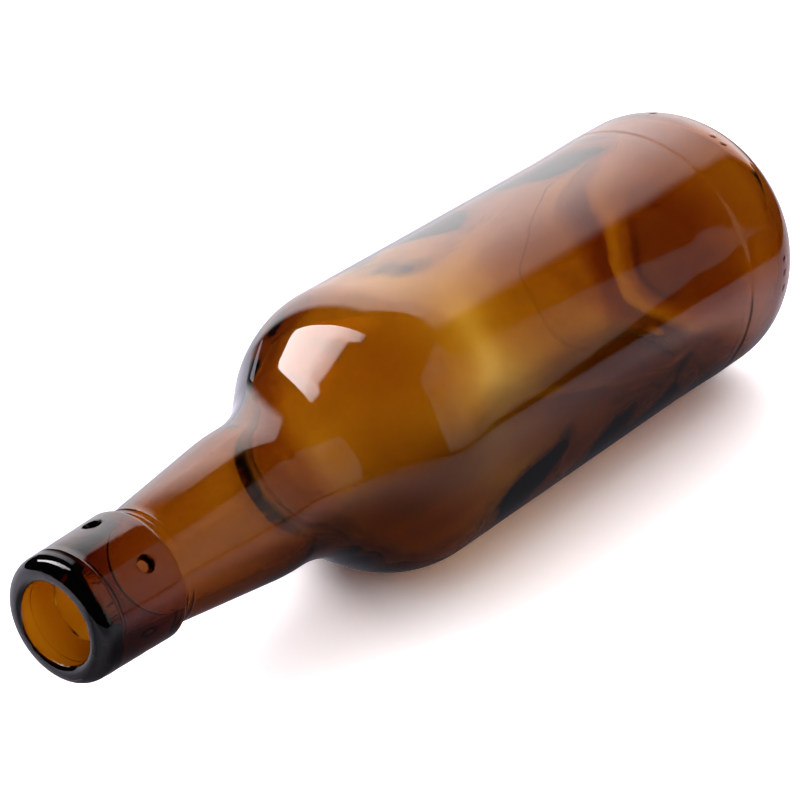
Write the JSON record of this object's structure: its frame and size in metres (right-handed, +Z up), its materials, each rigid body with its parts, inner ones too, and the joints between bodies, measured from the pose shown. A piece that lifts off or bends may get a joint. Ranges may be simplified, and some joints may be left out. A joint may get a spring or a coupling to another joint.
{
  "type": "empty swing top beer bottle",
  "caption": "Amber glass beer bottle for a swing top closure, lying on its side: rounded shoulder, tapered neck, collar with blind wire holes, open mouth, no closure or label.",
  "frame": {"origin": "middle of the bounding box on the surface the bottle lies on, under the bottle's axis", "axes": "+Y along the bottle's axis from the mouth to the base, +Z up from the surface the bottle lies on, +X to the side that the picture shows"},
  "size_m": [0.07, 0.2384, 0.0693],
  "materials": {
    "amber_glass": "clear amber-brown bottle glass, glossy, with a slightly wavy inner face"
  },
  "bodies": {
    "root": {"bottle": "amber_glass"}
  },
  "joints": []
}
